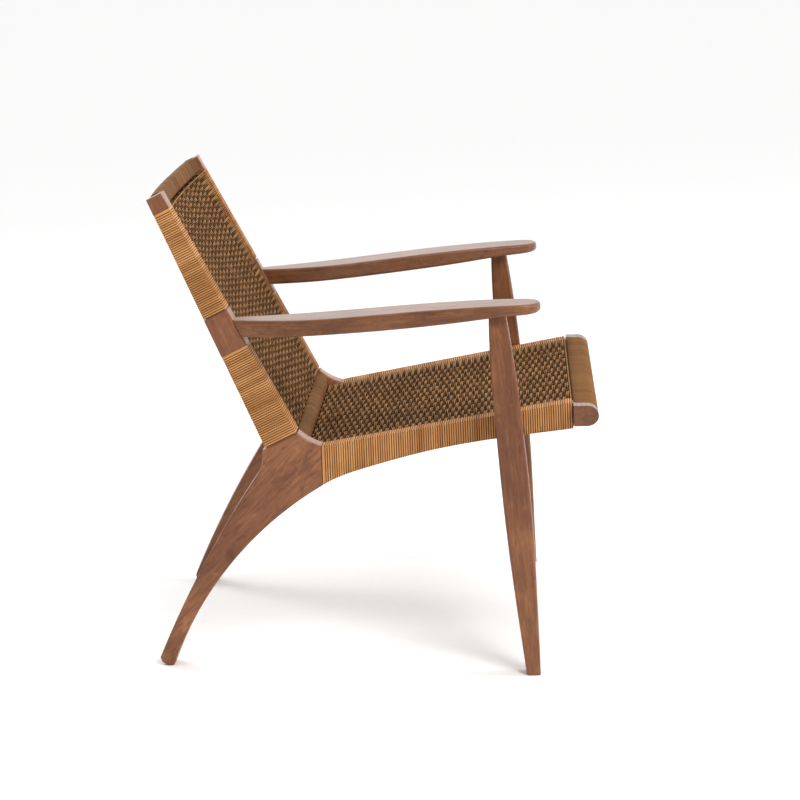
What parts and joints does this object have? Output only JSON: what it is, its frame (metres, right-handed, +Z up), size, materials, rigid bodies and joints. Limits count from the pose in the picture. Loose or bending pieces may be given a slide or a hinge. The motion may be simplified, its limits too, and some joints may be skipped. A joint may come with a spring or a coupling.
{
  "type": "wooden armchair",
  "caption": "Low wooden armchair with open arms, splayed legs and a woven cord seat and back between cord-wrapped rails.",
  "frame": {"origin": "on the floor, at the middle of the chair's box in plan", "axes": "+Z up, the sitter faces -Y, X across the chair with the sitter's right at -X"},
  "size_m": [0.709, 0.6625, 0.7128],
  "materials": {
    "stained_wood": "satin reddish-brown stain with open grain and softened edges",
    "wound_cord": "golden-brown twisted paper cord, wound in close turns",
    "fine_cord": "fine golden-brown paper cord, wound in close turns",
    "woven_cord": "olive-brown twisted paper cord in a plain weave of paired cords",
    "steel": "plain bright steel"
  },
  "bodies": {
    "root": {"rear_leg_left": "stained_wood", "rear_leg_right": "stained_wood", "back_stile_left": "stained_wood", "back_stile_right": "stained_wood", "seat_side_rail_left": "stained_wood", "seat_side_rail_right": "stained_wood", "front_leg_left": "stained_wood", "front_leg_right": "stained_wood", "arm_left": "stained_wood", "arm_right": "stained_wood", "front_rail": "stained_wood", "back_top_rail": "stained_wood", "back_lower_rail": "stained_wood", "seat_rear_rail": "stained_wood", "front_stretcher": "stained_wood", "arm_dowels": "stained_wood", "front_rail_dowels": "stained_wood", "stile_upper_wrap_left": "wound_cord", "stile_upper_wrap_right": "wound_cord", "stile_lower_wrap_left": "wound_cord", "stile_lower_wrap_right": "wound_cord", "side_rail_wrap_left": "wound_cord", "side_rail_wrap_right": "wound_cord", "back_top_rail_wrap": "wound_cord", "back_lower_rail_wrap": "wound_cord", "front_rail_wrap": "fine_cord", "seat_weave": "woven_cord", "back_weave": "woven_cord", "stretcher_screws": "steel"}
  },
  "joints": []
}
